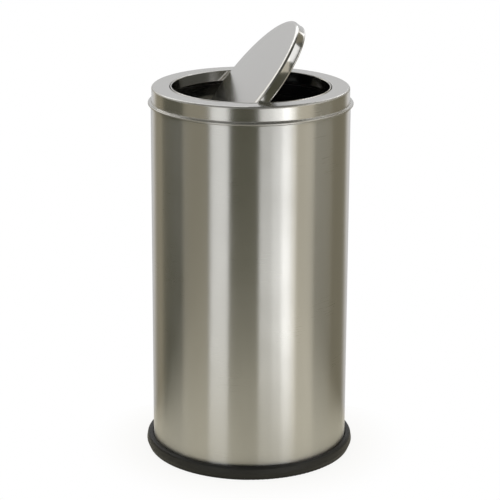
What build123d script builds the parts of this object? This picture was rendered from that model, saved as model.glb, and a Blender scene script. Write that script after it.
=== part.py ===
from build123d import *
import os
from math import sqrt

# A free-standing bin of brushed sheet steel. A loose ring lid carries a disc flap that swings on two
# pins across its middle, and a black bucket with a wire bail stands inside.
# Millimetres. The origin is the middle of the foot, +Z is up, and the front is towards -Y.

# Outer shell, a rolled sheet with a hem turned out along its top edge
SHELL_RADIUS = 125.0
SHELL_SHEET = 0.6
SHELL_LENGTH = 450.5
SHELL_HEM_OUT = 1.2
SHELL_HEM_DROP = 1.7
SEAM_WIDTH = 0.8
SEAM_DEPTH = 0.2

# Base ring, a black moulding that the shell stands in
RING_OUT = 8.8
RING_HEIGHT = 17.2
RING_LEDGE = 3.0
RING_LEDGE_WIDTH = 9.0
RING_BULGE_HEIGHT = 8.0
RING_FOOT_INSET = 3.4
RING_SHOULDER_INSET = 1.4
RING_SHOULDER_ROUND = 3.6
RING_FOOT_ROUND = 2.0
RING_GROOVE_WIDTH = 1.1
RING_GROOVE_DEPTH = 1.6
RING_GAP = 0.2

# Bottom plate, a pressed pan inside the shell's lower edge
PLATE_SHEET = 0.7
PLATE_HEIGHT = 6.4
PLATE_LAND_WIDTH = 26.0
PLATE_DISH_DEPTH = 1.8
PLATE_DISH_RUN = 5.0

# Lid ring, one pressed sheet: flat top, skirt, stop bead and a plug that drops into the shell
LID_SHEET = 0.8
LID_RISE = 22.3
LID_LAND = 22.69
LID_PLUG_CLEARANCE = 0.4
LID_PLUG_LENGTH = 14.0
LID_REST_GAP = 0.25
LID_SHOULDER_ROUND = 2.2
LID_HOLE_BEND = 0.7
LID_HOLE_FLANGE = 1.4
BEAD_OUT = 4.6
BEAD_HEIGHT = 2.7
BEAD_FLARE_ROUND = 2.2
LID_TURN = 9.7

# Hole collar, the polished ring that the flap swings in
COLLAR_SHEET = 0.7
COLLAR_HEIGHT = 13.0
COLLAR_PROUD = 0.3
COLLAR_LIP_OUT = 1.0
COLLAR_LIP_DROP = 1.3
COLLAR_HOLE_GAP = 0.9
TAB_SHEET = 1.0
TAB_COUNT = 4
TAB_ARC = 9.0
TAB_STEP = 5.5
TAB_LEG = 6.0
TAB_OFFSET = 7.0
TAB_FOOT = 8.0
TAB_BEND = 1.2
WELD_GAP = 0.05

# Flap, a pressed cap closed from below by a black moulded cover
FLAP_DEPTH = 13.8
FLAP_SHEET = 0.5
FLAP_FACE_RISE = 6.8
FLAP_EDGE_ROUND = 1.6
FLAP_STEP_HEIGHT = 2.4
FLAP_STEP_OUT = 0.5
FLAP_LIP_WIDTH = 4.0
FLAP_SWING_GAP = 0.35
FLAP_TILT = 50.5
COVER_THICKNESS = 2.4
COVER_GAP = 0.2
COVER_RIB_THICKNESS = 1.6
COVER_RIB_HEIGHT = 5.0

# Pivots: a headed pin at each end of the flap's axis, in a bush in the collar, kept by a push nut.
# The axis lies beside the middle of the hole, so the raised side of the flap is the longer one.
PIVOT_OFFSET = 5.2
PIN_RADIUS = 1.7
PIN_HEAD_OUT = 1.3
PIN_HEAD_THICKNESS = 1.2
PIN_HEAD_ROOM = 1.3
PIN_RUNNING_CLEARANCE = 0.05
PIN_PASSING_CLEARANCE = 0.35
PIN_TAIL = 0.5
PIN_BOSS_WIDTH = 13.0
PIN_BOSS_LENGTH = 9.0
PIN_BOSS_INSET = 3.0
PIN_BOSS_OVER = 1.4
BUSH_WALL = 0.8
BUSH_FLANGE_OUT = 0.4
BUSH_FLANGE_THICKNESS = 0.9
NUT_OUT = 0.8
NUT_THICKNESS = 0.6
NUT_GAP = 0.15

# Counterweights: a flat steel bar each side of the pivots, screwed under the cover
WEIGHT_EDGE_ROOM = 18.0
WEIGHT_WIDTH = 28.0
WEIGHT_THICKNESS = 4.0
WEIGHT_OFFSET = 30.0
WEIGHT_SHIFT = 5.8
WEIGHT_CORNER = 4.0
SCREW_END_DISTANCE = 16.0
SCREW_RADIUS = 1.9
SCREW_CLEARANCE = 0.2
SCREW_BITE = 1.6
SCREW_HEAD_RADIUS = 3.6
SCREW_HEAD_HEIGHT = 2.2

# Inner bucket, a tapered black moulding with two ears above its rim
BUCKET_SHELL_GAP = 4.8
BUCKET_TAPER = 10.0
BUCKET_RIM_DEPTH = 27.8
BUCKET_WALL = 1.8
BUCKET_FLOOR = 2.4
BUCKET_FLOOR_RISE = 4.0
BUCKET_STAND_GAP = 0.3
BUCKET_RIM_OUT = 3.6
BUCKET_RIM_DROP = 8.0
EAR_THICKNESS = 2.6
EAR_WIDTH = 13.0
EAR_HOLE_RISE = 5.0
EAR_LIP = 3.6

# Bail, a wire handle that lies round the bucket's mouth, with a moulded grip on its middle
BAIL_INSET = 7.0
BAIL_WIRE_RADIUS = 1.6
BAIL_EYE_CLEARANCE = 0.1
BAIL_BEND = 5.0
BAIL_RUN = 1.0
BAIL_HEAD_RADIUS = 2.8
BAIL_HEAD_LENGTH = 1.2
BAIL_HEAD_GAP = 0.3
GRIP_RADIUS = 4.4
GRIP_ARC = 36.0
GRIP_BORE_CLEARANCE = 0.05

# Heights and radii that follow from the sizes above
shell_foot = RING_LEDGE + RING_GAP
shell_top = shell_foot + SHELL_LENGTH
shell_bore = SHELL_RADIUS - SHELL_SHEET
ring_radius = SHELL_RADIUS + RING_OUT
lid_top = shell_top + LID_RISE
skirt_radius = shell_bore - LID_PLUG_CLEARANCE
hole_radius = skirt_radius - LID_LAND
collar_outside = hole_radius - COLLAR_HOLE_GAP - COLLAR_LIP_OUT
collar_bore = collar_outside - COLLAR_SHEET
plate_top = shell_foot + PLATE_HEIGHT
bucket_foot = plate_top + BUCKET_STAND_GAP
bucket_rim = shell_top - BUCKET_RIM_DEPTH
bucket_mouth = shell_bore - BUCKET_SHELL_GAP - BUCKET_RIM_OUT
bucket_base = bucket_mouth - BUCKET_TAPER
bail_height = bucket_rim + EAR_HOLE_RISE
bail_radius = bucket_mouth - BAIL_INSET

# The short side of the flap has the least room where it passes the collar
flap_under = FLAP_FACE_RISE - FLAP_DEPTH
short_reach = collar_bore - PIVOT_OFFSET - FLAP_SWING_GAP
flap_radius = PIVOT_OFFSET + sqrt(short_reach ** 2 - max(FLAP_FACE_RISE, -flap_under) ** 2)
flap_bore = flap_radius - FLAP_STEP_OUT - FLAP_SHEET
cover_floor = flap_under + FLAP_SHEET + COVER_GAP

# Pins and bushes: the flange fits under the collar's lip
bush_bore = PIN_RADIUS + PIN_RUNNING_CLEARANCE
bush_outside = bush_bore + BUSH_WALL
flange_radius = bush_outside + BUSH_FLANGE_OUT
pivot_height = lid_top + COLLAR_PROUD - COLLAR_LIP_DROP - WELD_GAP - flange_radius
boss_end = flap_bore - PIN_BOSS_INSET
pin_head = boss_end - PIN_BOSS_LENGTH
cover_rib_ring = pin_head - PIN_HEAD_THICKNESS - PIN_HEAD_ROOM
flange_seat = sqrt(collar_outside ** 2 - max(PIVOT_OFFSET - flange_radius, 0) ** 2) + WELD_GAP
nut_seat = flange_seat + BUSH_FLANGE_THICKNESS + NUT_GAP

# The bars' far corners stay inside the rim of the flap
weight_reach = PIVOT_OFFSET + WEIGHT_SHIFT + WEIGHT_OFFSET + WEIGHT_WIDTH / 2
weight_length = 2 * sqrt((flap_bore - WEIGHT_EDGE_ROOM) ** 2 - weight_reach ** 2)
screw_pitch = weight_length - 2 * SCREW_END_DISTANCE

in_lid = Rot(0, 0, LID_TURN)
in_pivot = in_lid * Pos(-PIVOT_OFFSET, 0, pivot_height)
in_flap = in_pivot * Rot(0, -FLAP_TILT, 0)
disc_middle = Pos(PIVOT_OFFSET, 0, 0)


def turned(profile):
    """Solid of revolution about Z from a face of (radius, height)."""
    return revolve(Plane.XZ * profile, Axis.Z, 360)


def pressed(path, sheet):
    """Turned sheet-metal piece from the middle line of its section."""
    return turned(trace(path, line_width=sheet))


def rounded_outline(corners):
    """Closed face of (radius, height, rounding) corners."""
    face = make_face(Polyline(*[(r, z) for r, z, _ in corners], close=True))
    for r, z, rounding in corners:
        if rounding:
            face = fillet(face.vertices().sort_by_distance((r, z, 0))[0], rounding)
    return face


def rod(radius, start, end):
    """Round bar along +Y between two distances from the axis."""
    return Pos(0, start, 0) * Rot(-90, 0, 0) * Cylinder(radius, end - start, align=(CENTER, CENTER, MIN))


def both_ends(shape):
    """The shape and its copy turned half round the axis."""
    return [shape, Rot(0, 0, 180) * shape]


def outer_shell():
    """Rolled and welded sheet, with its top edge hemmed outwards."""
    middle = SHELL_RADIUS - SHELL_SHEET / 2
    crest = shell_top - SHELL_SHEET / 2
    bend = SHELL_HEM_OUT / 2 - 0.01
    path = FilletPolyline(
        (middle, shell_foot),
        (middle, crest),
        (middle + SHELL_HEM_OUT, crest),
        (middle + SHELL_HEM_OUT, shell_top - SHELL_HEM_DROP),
        radius=bend,
    )
    seam = Pos(0, SHELL_RADIUS, shell_foot) * Box(
        SEAM_WIDTH, 2 * SEAM_DEPTH, SHELL_LENGTH - 2 * SHELL_HEM_DROP, align=(CENTER, CENTER, MIN)
    )
    return pressed(path, SHELL_SHEET) - seam


def base_ring():
    """Moulded ring with a ledge under the shell and a soft outer shoulder."""
    bore = SHELL_RADIUS + RING_GAP
    shoulder = ring_radius - RING_SHOULDER_INSET
    return turned(rounded_outline([
        (bore - RING_LEDGE_WIDTH, 0, 0),
        (ring_radius - RING_FOOT_INSET, 0, RING_FOOT_ROUND),
        (ring_radius, RING_BULGE_HEIGHT, RING_SHOULDER_ROUND),
        (shoulder, RING_HEIGHT, RING_SHOULDER_ROUND),
        (bore + RING_GROOVE_WIDTH, RING_HEIGHT, RING_GROOVE_WIDTH / 2),
        (bore, RING_HEIGHT - RING_GROOVE_DEPTH, 0),
        (bore, RING_LEDGE, 0),
        (bore - RING_LEDGE_WIDTH, RING_LEDGE, 0),
    ]))


def bottom_plate():
    """Pressed pan: a flange inside the shell, a flat land and a shallow dish."""
    rim = shell_bore - WELD_GAP - PLATE_SHEET / 2
    land = plate_top - PLATE_SHEET / 2
    dish_edge = rim - PLATE_LAND_WIDTH
    path = Polyline(
        (rim, shell_foot),
        (rim, land),
        (dish_edge, land),
        (dish_edge - PLATE_DISH_RUN, land - PLATE_DISH_DEPTH),
        (0, land - PLATE_DISH_DEPTH),
    )
    return pressed(path, PLATE_SHEET)


def lid_ring():
    """One sheet: edge of the hole, flat top, skirt, stop bead and plug."""
    half = LID_SHEET / 2
    top = lid_top - half
    hole = hole_radius + half
    wall = skirt_radius - half
    bead = skirt_radius + BEAD_OUT - half
    bead_low = shell_top + LID_REST_GAP + half
    bead_high = bead_low + BEAD_HEIGHT - LID_SHEET
    bead_round = (BEAD_HEIGHT - LID_SHEET) / 2 - 0.01
    path = FilletPolyline(
        (hole, lid_top - LID_HOLE_FLANGE),
        (hole, top),
        (wall, top),
        (wall, bead_high),
        (bead, bead_high),
        (bead, bead_low),
        (wall, bead_low),
        (wall, shell_top - LID_PLUG_LENGTH),
        radius=[LID_HOLE_BEND, LID_SHOULDER_ROUND, BEAD_FLARE_ROUND, bead_round, bead_round, half + 0.2],
    )
    return pressed(path, LID_SHEET)


def hole_collar():
    """Straight polished band with a lip rolled out over its top, and two bush holes."""
    half = COLLAR_SHEET / 2
    wall = collar_bore + half
    crest = lid_top + COLLAR_PROUD - half
    lip = collar_outside + COLLAR_LIP_OUT - half
    path = FilletPolyline(
        (wall, lid_top + COLLAR_PROUD - COLLAR_HEIGHT),
        (wall, crest),
        (lip, crest),
        (lip, lid_top + COLLAR_PROUD - COLLAR_LIP_DROP),
        radius=(lip - wall) / 2 - 0.01,
    )
    bush_holes = both_ends(rod(bush_outside + WELD_GAP, flap_radius, nut_seat))
    return in_lid * pressed(path, COLLAR_SHEET) - [in_pivot * hole for hole in bush_holes]


def collar_tabs():
    """Stepped tabs, welded to the collar and to the underside of the lid ring."""
    weld = collar_outside + WELD_GAP + TAB_SHEET / 2
    step = lid_top - TAB_STEP
    foot = lid_top - LID_SHEET - WELD_GAP - TAB_SHEET / 2
    path = FilletPolyline(
        (weld, step - TAB_LEG),
        (weld, step),
        (weld + TAB_OFFSET, step),
        (weld + TAB_OFFSET, foot),
        (weld + TAB_OFFSET + TAB_FOOT, foot),
        radius=TAB_BEND,
    )
    tab = Rot(0, 0, -TAB_ARC / 2) * revolve(Plane.XZ * trace(path, line_width=TAB_SHEET), Axis.Z, TAB_ARC)
    spacing = 360 / TAB_COUNT
    return [in_lid * Rot(0, 0, (i + 0.5) * spacing) * tab for i in range(TAB_COUNT)]


def pivot_bush():
    """Nylon bush: a sleeve through the collar and a flange against its outside."""
    outer_end = flange_seat + BUSH_FLANGE_THICKNESS
    body = rod(bush_outside, collar_bore, outer_end) + rod(flange_radius, flange_seat, outer_end)
    return body - rod(bush_bore, flap_radius, nut_seat)


def flap_cap():
    """Pressed disc with a deep rim, a stepped hem and a lip turned in under the cover."""
    half = FLAP_SHEET / 2
    face = FLAP_FACE_RISE - half
    wall = flap_bore + half
    hem = flap_radius - half
    lip = flap_under + half
    path = FilletPolyline(
        (0, face),
        (wall, face),
        (wall, flap_under + FLAP_STEP_HEIGHT),
        (hem, flap_under + FLAP_STEP_HEIGHT - FLAP_STEP_OUT),
        (hem, lip),
        (flap_radius - FLAP_LIP_WIDTH, lip),
        radius=[FLAP_EDGE_ROUND, half + 0.1, half + 0.1, 2 * FLAP_SHEET],
    )
    pin_holes = both_ends(rod(PIN_RADIUS + PIN_PASSING_CLEARANCE, boss_end, flap_radius + FLAP_SHEET))
    return disc_middle * pressed(path, FLAP_SHEET) - pin_holes


def flap_cover():
    """Moulded disc behind the cap, with stiffening ribs and the two pin bosses."""
    radius = flap_bore - COVER_GAP
    rib_top = COVER_THICKNESS + COVER_RIB_HEIGHT
    disc = Cylinder(radius, COVER_THICKNESS, align=(CENTER, CENTER, MIN))
    rib_ring = Cylinder(cover_rib_ring, rib_top, align=(CENTER, CENTER, MIN))
    rib_ring -= Cylinder(cover_rib_ring - COVER_RIB_THICKNESS, 2 * rib_top)
    spine = Box(
        COVER_RIB_THICKNESS, 2 * cover_rib_ring - PIVOT_OFFSET, rib_top, align=(CENTER, CENTER, MIN)
    )
    boss = Pos(0, boss_end, 0) * Box(
        PIN_BOSS_WIDTH, PIN_BOSS_LENGTH, PIN_RADIUS + PIN_BOSS_OVER - cover_floor, align=(CENTER, MAX, MIN)
    )
    cover = Pos(0, 0, cover_floor) * (disc_middle * (disc + rib_ring) + spine + both_ends(boss))
    cover -= both_ends(rod(PIN_RADIUS, cover_rib_ring, flap_radius))
    return cover - [
        Pos(x, y, cover_floor) * Cylinder(SCREW_RADIUS, 2 * SCREW_BITE) for x, y in screw_places()
    ]


def pivot_pin():
    """Headed pin: through the boss, the cap's rim and the bush, with a tail for the push nut."""
    tail = nut_seat + NUT_THICKNESS + PIN_TAIL
    return rod(PIN_RADIUS + PIN_HEAD_OUT, pin_head - PIN_HEAD_THICKNESS, pin_head) + rod(PIN_RADIUS, pin_head, tail)


def push_nut():
    """Spring washer pressed on the pin's tail, outside the bush."""
    washer = rod(PIN_RADIUS + NUT_OUT, nut_seat, nut_seat + NUT_THICKNESS)
    return washer - rod(PIN_RADIUS, flange_seat, nut_seat + 2 * NUT_THICKNESS)


def weight_places():
    """Middles of the counterweights across the pivots: shifted to balance the flap's longer side."""
    return [-WEIGHT_SHIFT - WEIGHT_OFFSET, -WEIGHT_SHIFT + WEIGHT_OFFSET]


def screw_places():
    """Middles of the counterweight screws."""
    return [(x, y) for x in weight_places() for y in (-screw_pitch / 2, screw_pitch / 2)]


def counterweights():
    """Two flat bars with clearance holes, under the cover so that the flap hangs level."""
    section = RectangleRounded(WEIGHT_WIDTH, weight_length, WEIGHT_CORNER)
    bars = [Pos(x, 0, cover_floor) * extrude(section, -WEIGHT_THICKNESS) for x in weight_places()]
    holes = [Pos(x, y, cover_floor) * Cylinder(SCREW_RADIUS + SCREW_CLEARANCE, 4 * WEIGHT_THICKNESS)
             for x, y in screw_places()]
    return [bar - holes for bar in bars]


def counterweight_screws():
    """Pan-head screws through the bars up into the cover."""
    length = WEIGHT_THICKNESS + SCREW_BITE
    shank = Pos(0, 0, SCREW_BITE) * Cylinder(SCREW_RADIUS, length, align=(CENTER, CENTER, MAX))
    head = Pos(0, 0, -WEIGHT_THICKNESS) * Cylinder(
        SCREW_HEAD_RADIUS, SCREW_HEAD_HEIGHT, align=(CENTER, CENTER, MAX)
    )
    head = fillet(head.faces().sort_by(Axis.Z)[0].edges(), SCREW_HEAD_HEIGHT / 2)
    return [Pos(x, y, cover_floor) * (shank + head) for x, y in screw_places()]


def inner_bucket():
    """Tapered pail: raised floor, outward rim with a turned-down edge, and two ears."""
    lean = BUCKET_TAPER / (bucket_rim - bucket_foot)
    rim_edge = bucket_mouth + BUCKET_RIM_OUT
    under_rim = bucket_rim - BUCKET_WALL
    floor = bucket_foot + BUCKET_FLOOR_RISE
    pail = turned(rounded_outline([
        (0, floor, 0),
        (bucket_base - 2 * BUCKET_WALL, floor, 0),
        (bucket_base - BUCKET_WALL, bucket_foot, 0),
        (bucket_base, bucket_foot, BUCKET_WALL / 3),
        (bucket_mouth - lean * BUCKET_WALL, under_rim, 0),
        (rim_edge - BUCKET_WALL, under_rim, 0),
        (rim_edge - BUCKET_WALL, bucket_rim - BUCKET_RIM_DROP, 0),
        (rim_edge, bucket_rim - BUCKET_RIM_DROP, 0),
        (rim_edge, bucket_rim, BUCKET_WALL),
        (bucket_mouth - BUCKET_WALL, bucket_rim, BUCKET_WALL / 2),
        (bucket_base + lean * BUCKET_FLOOR - BUCKET_WALL, floor + BUCKET_FLOOR, BUCKET_WALL),
        (0, floor + BUCKET_FLOOR, 0),
    ]))
    eye = BAIL_WIRE_RADIUS + BAIL_EYE_CLEARANCE
    plate = Plane.YZ * (
        Pos(0, bail_height) * Circle(eye + EAR_LIP)
        + Pos(0, bucket_rim - BUCKET_WALL / 2)
        * Rectangle(EAR_WIDTH, EAR_HOLE_RISE + BUCKET_WALL / 2, align=(CENTER, MIN))
        - Pos(0, bail_height) * Circle(eye)
    )
    ear = Pos(bucket_mouth, 0, 0) * extrude(plate, EAR_THICKNESS)
    return pail + both_ends(ear)


def bail_wire():
    """Round wire bent from ear to ear, its ends headed outside the ears."""
    head = bucket_mouth + EAR_THICKNESS + BAIL_HEAD_GAP
    start = BAIL_BEND + BAIL_RUN
    corner = bail_radius + BAIL_BEND
    bend_middle = BAIL_BEND * (1 - sqrt(0.5))
    path = Wire([
        Edge.make_line((head, 0, 0), (corner, 0, 0)),
        Edge.make_three_point_arc(
            (corner, 0, 0), (bail_radius + bend_middle, bend_middle, 0), (bail_radius, BAIL_BEND, 0)
        ),
        Edge.make_line((bail_radius, BAIL_BEND, 0), (bail_radius, start, 0)),
        Edge.make_three_point_arc((bail_radius, start, 0), (0, start + bail_radius, 0), (-bail_radius, start, 0)),
        Edge.make_line((-bail_radius, start, 0), (-bail_radius, BAIL_BEND, 0)),
        Edge.make_three_point_arc(
            (-bail_radius, BAIL_BEND, 0), (-bail_radius - bend_middle, bend_middle, 0), (-corner, 0, 0)
        ),
        Edge.make_line((-corner, 0, 0), (-head, 0, 0)),
    ])
    wire = sweep(Plane.YZ.offset(head) * Circle(BAIL_WIRE_RADIUS), path=path)
    cap = Rot(0, 0, -90) * rod(BAIL_HEAD_RADIUS, head, head + BAIL_HEAD_LENGTH)
    return Pos(0, 0, bail_height) * (wire + both_ends(cap))


def bail_grip():
    """Moulded tube on the middle of the bail."""
    ring = Plane.XZ * (
        Pos(bail_radius, 0) * Circle(GRIP_RADIUS)
        - Pos(bail_radius, 0) * Circle(BAIL_WIRE_RADIUS + GRIP_BORE_CLEARANCE)
    )
    tube = Rot(0, 0, 90 - GRIP_ARC / 2) * revolve(ring, Axis.Z, GRIP_ARC)
    return Pos(0, BAIL_BEND + BAIL_RUN, bail_height) * tube


def write(name, shape):
    """Saves one node."""
    solids = list(shape) if isinstance(shape, list) else [shape]
    node = solids[0] if len(solids) == 1 else Compound(children=solids)
    export_step(node, f"parts/{name}.step")


CENTER, MIN, MAX = Align.CENTER, Align.MIN, Align.MAX
os.makedirs("parts", exist_ok=True)

write("outer_shell", outer_shell())
write("base_ring", base_ring())
write("bottom_plate", bottom_plate())

write("lid_ring", lid_ring())
write("hole_collar", hole_collar())
write("collar_tabs", collar_tabs())
rear_bush, front_bush = [in_pivot * bush for bush in both_ends(pivot_bush())]
write("front_pivot_bush", front_bush)
write("rear_pivot_bush", rear_bush)

write("flap_cap", in_flap * flap_cap())
write("flap_cover", in_flap * flap_cover())
rear_pin, front_pin = [in_flap * pin for pin in both_ends(pivot_pin())]
write("front_pivot_pin", front_pin)
write("rear_pivot_pin", rear_pin)
write("push_nuts", [in_flap * nut for nut in both_ends(push_nut())])
write("counterweights", [in_flap * bar for bar in counterweights()])
write("counterweight_screws", [in_flap * screw for screw in counterweight_screws()])

write("inner_bucket", inner_bucket())
write("bail_wire", bail_wire())
write("bail_grip", bail_grip())
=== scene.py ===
import logging
import math
from dataclasses import dataclass
from enum import Enum
from typing import Any, ClassVar

import bpy
from mathutils import Euler, Matrix, Vector


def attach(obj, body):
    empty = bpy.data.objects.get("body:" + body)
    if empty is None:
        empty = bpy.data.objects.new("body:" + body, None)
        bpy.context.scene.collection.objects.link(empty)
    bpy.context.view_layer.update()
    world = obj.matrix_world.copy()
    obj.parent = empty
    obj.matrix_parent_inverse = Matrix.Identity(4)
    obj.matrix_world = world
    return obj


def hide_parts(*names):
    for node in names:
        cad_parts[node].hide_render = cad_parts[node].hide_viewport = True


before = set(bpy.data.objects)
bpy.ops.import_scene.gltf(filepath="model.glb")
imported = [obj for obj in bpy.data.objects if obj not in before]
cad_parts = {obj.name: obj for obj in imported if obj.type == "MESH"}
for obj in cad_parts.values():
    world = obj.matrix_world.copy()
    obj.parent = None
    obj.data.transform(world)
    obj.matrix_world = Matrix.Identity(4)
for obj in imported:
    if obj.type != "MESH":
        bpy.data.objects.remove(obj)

log = logging.getLogger("bin")

MM = 0.001
SHELL_RADIUS = 125 * MM

Socket = bpy.types.NodeSocket
Tree = bpy.types.NodeTree


class Brush(Enum):
    """Which way the polishing belt ran over a sheet."""

    AROUND = "round the bin, on an upright wall"
    RINGS = "in rings, on a flat face round the bin's axis"
    STRAIGHT = "straight across the flap"


def linear(hex_code: str) -> tuple[float, float, float, float]:
    """Turns an sRGB colour into the linear one that shaders take.

    Args:
        hex_code: six hexadecimal digits.

    Returns:
        Linear red, green and blue, and an alpha of one.
    """
    channels = [int(hex_code[i:i + 2], 16) / 255 for i in (0, 2, 4)]
    light = [c / 12.92 if c <= 0.04045 else ((c + 0.055) / 1.055) ** 2.4 for c in channels]
    return (*light, 1.0)


def grey(level: float) -> tuple[float, float, float, float]:
    """Gives a linear grey of this level."""
    return (level, level, level, 1.0)


def add_node(tree: Tree, kind: str, inputs: dict | None = None, **settings: Any) -> Any:
    """Adds a node, sets it up and links it.

    Args:
        tree: the node tree that gets the node.
        kind: the node's type name, without its "ShaderNode".
        inputs: values or sockets, by the name or number of the input that takes them.
        settings: the node's own properties.

    Returns:
        The new node.
    """
    node = tree.nodes.new("ShaderNode" + kind)
    for name, value in settings.items():
        setattr(node, name, value)
    for name, value in (inputs or {}).items():
        if isinstance(value, Socket):
            tree.links.new(value, node.inputs[name])
        else:
            node.inputs[name].default_value = value
    return node


def maths(tree: Tree, operation: str, *values: Any) -> Socket:
    """Adds one step of arithmetic.

    Args:
        tree: the node tree.
        operation: the Math node's operation.
        values: its one to three inputs.

    Returns:
        The result.
    """
    return add_node(tree, "Math", dict(enumerate(values)), operation=operation).outputs[0]


def ramp(tree: Tree, value: Socket, low: float, high: float, start: float = 0.0, end: float = 1.0) -> Socket:
    """Maps a value smoothly from one range to another.

    Args:
        tree: the node tree.
        value: what is mapped.
        low: the value that gives start.
        high: the value that gives end.
        start: the first result.
        end: the last result.

    Returns:
        The mapped value.
    """
    return add_node(
        tree, "MapRange",
        {"Value": value, "From Min": low, "From Max": high, "To Min": start, "To Max": end},
        interpolation_type="SMOOTHSTEP",
    ).outputs[0]


def blend_colour(tree: Tree, share: Any, first: Any, second: Any) -> Socket:
    """Mixes two colours.

    Args:
        tree: the node tree.
        share: how much of the second colour there is.
        first: the colour at a share of zero.
        second: the colour at a share of one.

    Returns:
        The mixed colour.
    """
    return add_node(tree, "Mix", {0: share, 6: first, 7: second}, data_type="RGBA").outputs[2]


def noise(tree: Tree, place: Socket, scale: float, detail: float = 2.0) -> Socket:
    """Adds a noise pattern.

    Args:
        tree: the node tree.
        place: where the pattern is read.
        scale: its lumps per unit of place.
        detail: how many finer layers it has.

    Returns:
        The pattern's grey value.
    """
    return add_node(tree, "TexNoise", {"Vector": place, "Scale": scale, "Detail": detail}).outputs["Fac"]


def dot(tree: Tree, vector: Socket, way: tuple[float, float, float]) -> Socket:
    """Measures how far a vector reaches along a fixed way.

    Args:
        tree: the node tree.
        vector: the vector.
        way: the fixed way, of length one.

    Returns:
        Their dot product.
    """
    return add_node(tree, "VectorMath", {0: vector, 1: way}, operation="DOT_PRODUCT").outputs["Value"]


def pick(piece: bpy.types.Object) -> None:
    """Makes a piece the only selected object, and the active one."""
    bpy.ops.object.select_all(action="DESELECT")
    piece.select_set(True)
    bpy.context.view_layer.objects.active = piece


@dataclass(frozen=True)
class Finish:
    """What every finish has: a name and a way to end its node tree in a shader."""

    name: str

    def material(self) -> bpy.types.Material:
        """Builds the material of this finish.

        Returns:
            The material.
        """
        material = bpy.data.materials.new(self.name)
        material.use_nodes = True
        tree = material.node_tree
        tree.nodes.clear()
        shader = self.shader(tree, add_node(tree, "TexCoord"))
        output = add_node(tree, "OutputMaterial")
        tree.links.new(shader, output.inputs["Surface"])
        return material

    def shader(self, tree: Tree, place: Any) -> Socket:
        """Builds the surface, which each finish does in its own way.

        Args:
            tree: the material's node tree.
            place: its Texture Coordinate node.

        Returns:
            The surface.
        """
        raise NotImplementedError


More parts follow.
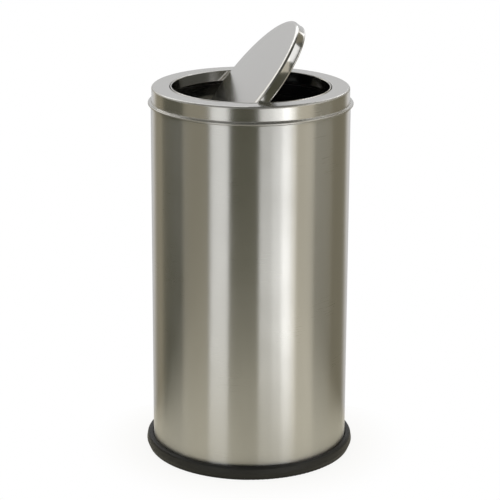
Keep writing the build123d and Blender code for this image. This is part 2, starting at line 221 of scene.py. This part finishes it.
@dataclass(frozen=True)
class Stainless(Finish):
    """Stainless sheet off a polishing belt: its lines stretch a reflection across themselves."""

    colour: str
    dull_colour: str
    roughness: float
    flat_roughness: float
    brush: Brush
    stretch: float = 0.0
    flat_normal: tuple[float, float, float] = (0.0, 0.0, 1.0)
    # The real lines are finer than this, and are drawn coarser so that they hold in a render
    line_mm: float = 0.4
    streak_mm: float = 70.0
    line_depth: float = 0.01
    smudge: float = 0.05
    smudge_mm: float = 55.0
    bead_roughness: float = 0.0
    seam_half_mm: float = 0.0
    seam_colour: str = "b3b0a6"

    def brushed_grid(self, tree: Tree, place: Socket) -> Socket:
        """Stretches object space along the belt's way, so that noise in it gives long fine lines.

        Args:
            tree: the node tree.
            place: the object coordinates, in metres.

        Returns:
            The place in streak lengths along the lines and line widths across them.
        """
        along_scale, across_scale = 1 / (self.streak_mm * MM), 1 / (self.line_mm * MM)
        if self.brush is Brush.STRAIGHT:
            across = Vector(self.flat_normal).cross(Vector((0, 0, 1))).normalized()
            along = Vector(self.flat_normal).cross(across)
            steps = [
                maths(tree, "MULTIPLY", dot(tree, place, tuple(way)), scale)
                for way, scale in ((along, along_scale), (across, across_scale))
            ]
            return add_node(tree, "CombineXYZ", {0: steps[0], 1: steps[1]}).outputs[0]
        x, y, z = add_node(tree, "SeparateXYZ", {0: place}).outputs
        turn = maths(tree, "ARCTAN2", x, maths(tree, "MULTIPLY", y, -1.0))
        flat = add_node(tree, "CombineXYZ", {0: x, 1: y}).outputs[0]
        reach = add_node(tree, "VectorMath", {0: flat}, operation="LENGTH").outputs["Value"]
        across = z if self.brush is Brush.AROUND else maths(tree, "SUBTRACT", z, reach)
        arc = maths(tree, "MULTIPLY", turn, SHELL_RADIUS * along_scale)
        return add_node(
            tree, "CombineXYZ", {0: arc, 1: maths(tree, "MULTIPLY", across, across_scale)}
        ).outputs[0]

    def polish(self, tree: Tree, place: Any, lines: Socket) -> Socket:
        """Sets how sharply the sheet mirrors, from its flats over its beads to its smudges.

        Args:
            tree: the node tree.
            place: the Texture Coordinate node.
            lines: the pattern of the belt's lines.

        Returns:
            The roughness.
        """
        level = maths(tree, "ABSOLUTE", dot(tree, place.outputs["Normal"], self.flat_normal))
        flat = ramp(tree, level, 0.75, 0.95)
        rough = ramp(tree, flat, 0.0, 1.0, self.roughness, self.flat_roughness)
        if self.bead_roughness:
            # A bead is rolled after the sheet was polished, which leaves its slopes duller
            slope = maths(tree, "SUBTRACT", ramp(tree, level, 0.10, 0.35), flat)
            rough = maths(tree, "MULTIPLY_ADD", slope, self.bead_roughness, rough)
        rough = maths(tree, "MULTIPLY", rough, ramp(tree, lines, 0.25, 0.75, 0.95, 1.05))
        # Broad cloudy patches: the belt wears, and hands dull the sheet
        clouds = noise(tree, place.outputs["Object"], 1 / (self.smudge_mm * MM), 3.0)
        smudges = ramp(tree, clouds, 0.35, 0.75, 1 - self.smudge, 1 + self.smudge)
        return maths(tree, "MULTIPLY", rough, smudges)

    def shader(self, tree: Tree, place: Any) -> Socket:
        """Builds the brushed surface.

        Args:
            tree: the material's node tree.
            place: its Texture Coordinate node.

        Returns:
            The surface.
        """
        lines = noise(tree, self.brushed_grid(tree, place.outputs["Object"]), 1.0, 3.0)
        rough = self.polish(tree, place, lines)
        colour = blend_colour(tree, lines, linear(self.dull_colour), linear(self.colour))
        if self.seam_half_mm:
            # The weld down the back is planished: smoother and a little darker than the sheet
            x, y, _ = add_node(tree, "SeparateXYZ", {0: place.outputs["Object"]}).outputs
            half = self.seam_half_mm * MM
            near = ramp(tree, maths(tree, "ABSOLUTE", x), half, 2 * half, 1, 0)
            seam = maths(tree, "MULTIPLY", near, maths(tree, "GREATER_THAN", y, 0.0))
            colour = blend_colour(tree, maths(tree, "MULTIPLY", seam, 0.6), colour, linear(self.seam_colour))
            rough = maths(tree, "MULTIPLY", rough, ramp(tree, seam, 0.0, 1.0, 1.0, 0.7))
        bump = add_node(
            tree, "Bump", {"Strength": self.line_depth, "Distance": 0.02 * MM, "Height": lines}
        ).outputs[0]
        inputs = {"Base Color": colour, "Metallic": 1.0, "Roughness": rough, "Normal": bump}
        if self.stretch:
            inputs |= {
                "Anisotropic": self.stretch,
                "Anisotropic Rotation": 0.25,
                "Tangent": add_node(tree, "Tangent", direction_type="RADIAL", axis="Z").outputs[0],
            }
        return add_node(tree, "BsdfPrincipled", inputs).outputs[0]


@dataclass(frozen=True)
class ZincPlate(Finish):
    """Bright zinc on pressed steel: cool grey, with the cloudy spangle of the plating bath."""

    colour: str = "b6babd"
    cloud_colour: str = "9da2a6"
    roughness: float = 0.34
    cloud_mm: float = 4.0

    def shader(self, tree: Tree, place: Any) -> Socket:
        """Builds the plated surface.

        Args:
            tree: the material's node tree.
            place: its Texture Coordinate node.

        Returns:
            The surface.
        """
        clouds = noise(tree, place.outputs["Object"], 1 / (self.cloud_mm * MM), 3.0)
        colour = blend_colour(tree, clouds, linear(self.cloud_colour), linear(self.colour))
        rough = ramp(tree, clouds, 0.3, 0.7, self.roughness * 1.2, self.roughness * 0.8)
        return add_node(
            tree, "BsdfPrincipled", {"Base Color": colour, "Metallic": 1.0, "Roughness": rough}
        ).outputs[0]


@dataclass(frozen=True)
class Moulded(Finish):
    """Injection-moulded plastic: the tool's fine grain breaks up a soft sheen, and handling rubs it paler."""

    colour: str
    rubbed_colour: str
    roughness: float
    grain_mm: float = 0.7
    grain_depth: float = 0.12
    scuff_mm: float = 18.0

    def shader(self, tree: Tree, place: Any) -> Socket:
        """Builds the moulded surface.

        Args:
            tree: the material's node tree.
            place: its Texture Coordinate node.

        Returns:
            The surface.
        """
        grain = noise(tree, place.outputs["Object"], 1 / (self.grain_mm * MM))
        scuffs = noise(tree, place.outputs["Object"], 1 / (self.scuff_mm * MM), 4.0)
        colour = blend_colour(
            tree, ramp(tree, scuffs, 0.45, 0.75), linear(self.colour), linear(self.rubbed_colour)
        )
        rough = ramp(tree, grain, 0.3, 0.7, self.roughness * 0.9, self.roughness * 1.1)
        bump = add_node(
            tree, "Bump", {"Strength": self.grain_depth, "Distance": 0.05 * MM, "Height": grain}
        ).outputs[0]
        return add_node(
            tree, "BsdfPrincipled",
            {"Base Color": colour, "Roughness": rough, "Normal": bump, "IOR": 1.49},
        ).outputs[0]


@dataclass
class Camera:
    """The photographer's place: in front of the bin and above it, looking down at its middle."""

    distance: float = 2.40154
    height: float = 0.98151
    pitch_deg: float = 16.677
    roll_deg: float = 0.27
    lens_mm: float = 141.23
    sensor_mm: float = 36.0

    def build(self) -> bpy.types.Object:
        """Adds the camera and makes it the scene's.

        Returns:
            The camera's object.
        """
        data = bpy.data.cameras.new("camera")
        data.lens = self.lens_mm
        data.sensor_width = self.sensor_mm
        camera = bpy.data.objects.new("camera", data)
        bpy.context.scene.collection.objects.link(camera)
        camera.location = (0.0, -self.distance, self.height)
        look = Euler((math.radians(90 - self.pitch_deg), 0, 0)).to_matrix()
        roll = Euler((0, 0, math.radians(self.roll_deg))).to_matrix()
        camera.rotation_euler = (look @ roll).to_euler()
        bpy.context.scene.camera = camera
        return camera


@dataclass(frozen=True)
class SoftBox:
    """A soft light beside the bin, with its angle counted from the camera's side to the right."""

    name: str
    angle_deg: float
    spread_deg: float
    level: float
    colour: str = "ffffff"
    distance: float = 2.0
    low: float = -1.4
    high: float = 2.6

    def build(self) -> bpy.types.Object:
        """Adds the light, facing the bin's axis.

        Returns:
            The light's object.
        """
        width = 2 * self.distance * math.tan(math.radians(self.spread_deg / 2))
        height = self.high - self.low
        data = bpy.data.lights.new(self.name, "AREA")
        data.shape = "RECTANGLE"
        data.size, data.size_y = width, height
        data.energy = self.level * math.pi * width * height
        data.color = linear(self.colour)[:3]
        box = bpy.data.objects.new(self.name, data)
        bpy.context.scene.collection.objects.link(box)
        angle = math.radians(self.angle_deg)
        box.location = (
            self.distance * math.sin(angle), -self.distance * math.cos(angle), (self.low + self.high) / 2
        )
        box.rotation_euler = (math.radians(90), 0, angle)
        box.visible_camera = False
        return box


@dataclass
class Studio:
    """A round pale table in a dim warm room, a white backdrop behind it and soft boxes round it."""

    table_radius: float = 0.32
    table_forward: float = 0.16
    table_facets: int = 160
    table_colour: str = "e8e3d0"
    shadow_radius: float = 0.13
    white_radius: float = 0.22
    shadow_glow: float = 0.88
    room_colour: str = "504f40"
    ceiling_colour: str = "5a5a54"
    backdrop_level: float = 0.675
    fill_level: float = 0.75
    boxes: tuple[SoftBox, ...] = (
        SoftBox("key_core", 41, 10, 1.18, high=0.45),
        SoftBox("key_middle", 31, 12, 0.36, distance=2.1, high=0.45),
        SoftBox("key_wide", 31, 42, 1.02, distance=2.2, high=0.45),
        SoftBox("key_side", 62, 30, 0.55, colour="fff6e2", distance=2.3),
        SoftBox("key_far", 91, 26, 0.22, colour="fff6e2", distance=2.4),
        SoftBox("right_back", 128, 50, 0.16, colour="fff0d2", distance=2.4),
        SoftBox("left_box", -35, 22, 0.96),
        SoftBox("left_side", -65, 34, 0.25, colour="fff4dc", distance=2.3),
        SoftBox("left_far", -108, 42, 0.03, colour="fff4dc", distance=2.4),
        SoftBox("left_back", -134, 30, 0.22, colour="fff0d2", distance=2.4),
        SoftBox("high_back", 180, 64, 1.40, distance=1.7, low=1.40, high=2.50),
        SoftBox("high_right", 92, 46, 1.20, distance=1.8, low=1.20, high=2.60),
        SoftBox("high_left", -116, 70, 1.10, distance=1.8, low=1.15, high=2.10),
    )

    def build(self) -> None:
        """Builds the table, the world and the lights."""
        self.table()
        self.world()
        for box in self.boxes:
            box.build()

    def table(self) -> None:
        """Adds the floor, which is white to the camera but for the bin's soft shadow."""
        bpy.ops.object.select_all(action="DESELECT")
        bpy.ops.mesh.primitive_circle_add(
            vertices=self.table_facets, radius=self.table_radius, fill_type="NGON",
            location=(0, -self.table_forward, 0),
        )
        bpy.ops.object.transform_apply(location=True)
        floor = bpy.context.object
        floor.name = "floor"
        material = bpy.data.materials.new("pale_floor")
        material.use_nodes = True
        tree = material.node_tree
        tree.nodes.clear()
        place = add_node(tree, "TexCoord").outputs["Object"]
        reach = add_node(tree, "VectorMath", {0: place}, operation="LENGTH").outputs["Value"]
        shade = add_node(tree, "BsdfDiffuse", {"Color": linear(self.table_colour)})
        glow = add_node(tree, "Emission", {"Color": grey(1), "Strength": 1.0})
        seen = add_node(tree, "LightPath").outputs["Is Camera Ray"]
        share = ramp(tree, reach, self.shadow_radius, self.white_radius, self.shadow_glow, 1.0)
        share = maths(tree, "MULTIPLY", seen, share)
        mix = add_node(tree, "MixShader", {0: share, 1: shade.outputs[0], 2: glow.outputs[0]})
        output = add_node(tree, "OutputMaterial")
        tree.links.new(mix.outputs[0], output.inputs["Surface"])
        floor.data.materials.append(material)

    def world(self) -> None:
        """Makes the room: white to the camera, and in reflections pale behind the bin and dim elsewhere."""
        world = bpy.data.worlds.new("studio")
        bpy.context.scene.world = world
        world.use_nodes = True
        tree = world.node_tree
        tree.nodes.clear()
        direction = add_node(tree, "TexCoord").outputs["Generated"]
        _, away, up = add_node(tree, "SeparateXYZ", {0: direction}).outputs
        walls, ceiling = linear(self.room_colour), linear(self.ceiling_colour)
        room = blend_colour(tree, ramp(tree, up, 0.3, 0.9), walls, ceiling)
        room = blend_colour(tree, ramp(tree, away, 0.72, 0.90), room, grey(self.backdrop_level))
        rays = add_node(tree, "LightPath").outputs
        shiny = maths(tree, "MAXIMUM", rays["Is Glossy Ray"], rays["Is Transmission Ray"])
        lit = blend_colour(tree, shiny, grey(self.fill_level), room)
        seen = blend_colour(tree, rays["Is Camera Ray"], lit, grey(1))
        background = add_node(tree, "Background", {"Color": seen})
        output = add_node(tree, "OutputWorld")
        tree.links.new(background.outputs[0], output.inputs["Surface"])


ZINC = ZincPlate("bright_zinc_plate")
BASE_MOULDING = Moulded("black_polypropylene", "131312", "1a1a19", 0.48)
BUCKET_MOULDING = Moulded("black_bucket_polypropylene", "0e0e0e", "161615", 0.5, grain_mm=1.2)
NYLON = Moulded("black_nylon", "141414", "1c1c1c", 0.45)


class Piece:
    """A part of the bin that moves as one."""

    title: ClassVar[str]

    def finishes(self) -> dict[str, Finish]:
        """Gives the finish of each CAD node, which each part does in its own way.

        Returns:
            The finishes, by the nodes' names.
        """
        raise NotImplementedError

    def dress(self) -> None:
        """Puts each node's finish in the node's material slot."""
        for name, finish in self.finishes().items():
            material = bpy.data.materials.get(finish.name) or finish.material()
            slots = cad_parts[name].data.materials
            slots.clear()
            slots.append(material)
            log.info("%s: %s in %s", self.title, name, finish.name)


@dataclass
class Can(Piece):
    """The standing part: shell, base ring and bottom plate."""

    title: ClassVar[str] = "can"
    seam_half_mm: float = 1.8

    def finishes(self) -> dict[str, Finish]:
        """Gives the shell a round-brushed sheet, the ring a satin moulding and the plate zinc.

        Returns:
            The finishes, by the nodes' names.
        """
        # Even vertical bands of light and dark, as the belt's lines smear them along the shell
        shell = Stainless(
            "round_brushed_stainless", "d2d2d0", "cccbc9", roughness=0.30, flat_roughness=0.30,
            brush=Brush.AROUND, stretch=1.0, seam_half_mm=self.seam_half_mm,
        )
        return {"outer_shell": shell, "base_ring": BASE_MOULDING, "bottom_plate": ZINC}


@dataclass
class Lid(Piece):
    """The loose ring with its polished collar, tabs and bushes."""

    title: ClassVar[str] = "lid"

    def finishes(self) -> dict[str, Finish]:
        """Gives the ring a satin sheet and the collar a polished one.

        Returns:
            The finishes, by the nodes' names.
        """
        # A calm pale top, the shell's bands on the skirt and a dull line along the bead
        ring = Stainless(
            "satin_stainless", "d2d1cf", "cbcac7", roughness=0.26, flat_roughness=0.17,
            brush=Brush.RINGS, stretch=0.75, smudge=0.06, bead_roughness=0.28,
        )
        # A dark mirror round the mouth, which picks up the flap and the black inside
        collar = Stainless(
            "polished_stainless", "dedddb", "d4d3d0", roughness=0.11, flat_roughness=0.11,
            brush=Brush.AROUND, smudge=0.2, line_depth=0.03,
        )
        return {
            "lid_ring": ring, "hole_collar": collar, "collar_tabs": ZINC,
            "front_pivot_bush": NYLON, "rear_pivot_bush": NYLON,
        }


@dataclass
class Flap(Piece):
    """The swinging disc, its cover, pins and counterweights, with lengths in mm."""

    title: ClassVar[str] = "flap"
    tilt_deg: float = 50.5
    turn_deg: float = 9.7
    pivot_height: float = 472.0
    pivot_offset: float = 5.2
    radius: float = 98.09
    face_rise: float = 6.8
    depth: float = 13.8
    sheet: float = 0.5
    step_out: float = 0.5
    step_height: float = 2.4
    lip_width: float = 4.0
    pin_hole_radius: float = 2.05
    facets: int = 192
    hole_facets: int = 32
    smooth_deg: float = 28.0

    def finishes(self) -> dict[str, Finish]:
        """Gives the parts in and under the cap their finishes.

        Returns:
            The finishes, by the nodes' names.
        """
        zinc = ("front_pivot_pin", "rear_pivot_pin", "push_nuts", "counterweights", "counterweight_screws")
        return {"flap_cover": BASE_MOULDING} | dict.fromkeys(zinc, ZINC)

    def cap_finish(self) -> Stainless:
        """Gives the cap a satin face and a polished rim, with sharp light and dark patches.

        Returns:
            The finish.
        """
        tilt, turn = math.radians(self.tilt_deg), math.radians(self.turn_deg)
        normal = (-math.sin(tilt) * math.cos(turn), -math.sin(tilt) * math.sin(turn), math.cos(tilt))
        return Stainless(
            "straight_brushed_stainless", "d6d5d4", "cccbc9", roughness=0.13, flat_roughness=0.20,
            brush=Brush.STRAIGHT, flat_normal=normal, line_depth=0.03,
        )

    def profile(self) -> list[tuple[float, float]]:
        """Gives the outside of the cap, from its flat face over the rolled edge to the lip turned in below.

        Returns:
            Radius from the disc's middle and height above the pivots, in mm.
        """
        wall = self.radius - self.step_out
        under = self.face_rise - self.depth
        step = under + self.step_height
        # Each place on the edge is so far inside the wall and so far below the face
        roll = [(6.4, 0.0), (5.2, 0.05), (4.2, 0.19), (3.2, 0.44), (2.3, 0.78), (1.5, 1.19), (0.95, 1.56)]
        bend = [(0.6, 1.84), (0.3, 2.13), (0.08, 2.5), (0.0, 2.95)]
        edge = [(wall - inwards, self.face_rise - drop) for inwards, drop in roll + bend]
        hem = [
            (wall, step), (wall + 0.10, step - 0.25),
            (self.radius - 0.10, step - 0.45), (self.radius, step - 0.7),
        ]
        corner = [(0.0, 1.25), (0.10, 0.77), (0.37, 0.37), (0.77, 0.10), (1.25, 0.0), (self.lip_width, 0.0)]
        lip = [(self.radius - inwards, under + rise) for inwards, rise in corner]
        return edge + hem + lip

    def cap(self) -> bpy.types.Object:
        """Models the pressed cap, with the softly rolled edge that the CAD's plain bend lacks.

        Returns:
            The cap, in place.
        """
        middle = self.pivot_offset * MM
        rings = [(radius * MM, height * MM) for radius, height in self.profile()]
        bpy.ops.object.select_all(action="DESELECT")
        bpy.ops.mesh.primitive_circle_add(
            vertices=self.facets, radius=rings[0][0], fill_type="NGON", location=(middle, 0, rings[0][1])
        )
        cap = bpy.context.object
        cap.name = "rolled_edge_cap"
        bpy.ops.object.transform_apply(location=True)
        bpy.ops.object.mode_set(mode="EDIT")
        bpy.ops.mesh.select_mode(type="EDGE")
        bpy.ops.mesh.select_all(action="SELECT")
        for (radius, height), (next_radius, next_height) in zip(rings, rings[1:]):
            bpy.ops.mesh.extrude_edges_move(TRANSFORM_OT_translate={"value": (0, 0, next_height - height)})
            grow = next_radius / radius
            bpy.ops.transform.resize(value=(grow, grow, 1), center_override=(middle, 0, next_height))
        bpy.ops.mesh.select_all(action="SELECT")
        bpy.ops.mesh.normals_make_consistent(inside=False)
        bpy.ops.object.mode_set(mode="OBJECT")
        thick = cap.modifiers.new("sheet", "SOLIDIFY")
        thick.thickness, thick.offset = self.sheet * MM, -1
        bpy.ops.object.modifier_apply(modifier=thick.name)
        self.drill(cap)
        bpy.ops.object.shade_smooth_by_angle(angle=math.radians(self.smooth_deg))
        tilt = Matrix.Rotation(math.radians(-self.tilt_deg), 4, "Y")
        turn = Matrix.Rotation(math.radians(self.turn_deg), 4, "Z")
        raised = Matrix.Translation((-middle, 0, self.pivot_height * MM))
        cap.matrix_world = turn @ raised @ tilt
        bpy.ops.object.transform_apply(location=True, rotation=True, scale=True)
        return cap

    def drill(self, cap: bpy.types.Object) -> None:
        """Cuts the two holes that the pins pass through.

        Args:
            cap: the cap, still lying level with the pivots at the origin.
        """
        bpy.ops.object.select_all(action="DESELECT")
        bpy.ops.mesh.primitive_cylinder_add(
            vertices=self.hole_facets, radius=self.pin_hole_radius * MM, depth=2.2 * self.radius * MM,
            rotation=(math.radians(90), 0, 0),
        )
        drill = bpy.context.object
        pick(cap)
        holes = cap.modifiers.new("pin_holes", "BOOLEAN")
        holes.object, holes.operation = drill, "DIFFERENCE"
        bpy.ops.object.modifier_apply(modifier=holes.name)
        bpy.data.objects.remove(drill)

    def dress(self) -> None:
        """Dresses the CAD nodes, then puts the modelled cap over the plain one."""
        super().dress()
        cap, finish = self.cap(), self.cap_finish()
        cap.data.materials.append(finish.material())
        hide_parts("flap_cap")
        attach(cap, "flap")
        log.info("%s: %s for flap_cap in %s", self.title, cap.name, finish.name)


@dataclass
class Bucket(Piece):
    """The inner bucket and its bail."""

    title: ClassVar[str] = "bucket"

    def finishes(self) -> dict[str, Finish]:
        """Gives the bucket and the grip a grained moulding and the wire zinc.

        Returns:
            The finishes, by the nodes' names.
        """
        return {"inner_bucket": BUCKET_MOULDING, "bail_grip": BUCKET_MOULDING, "bail_wire": ZINC}


def main() -> None:
    """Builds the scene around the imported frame."""
    logging.basicConfig(level=logging.INFO, format="%(message)s")
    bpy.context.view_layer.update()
    bpy.context.scene.view_settings.view_transform = "Standard"
    Camera().build()
    Studio().build()
    for piece in (Can(), Lid(), Flap(), Bucket()):
        piece.dress()


if __name__ == "__main__":
    main()
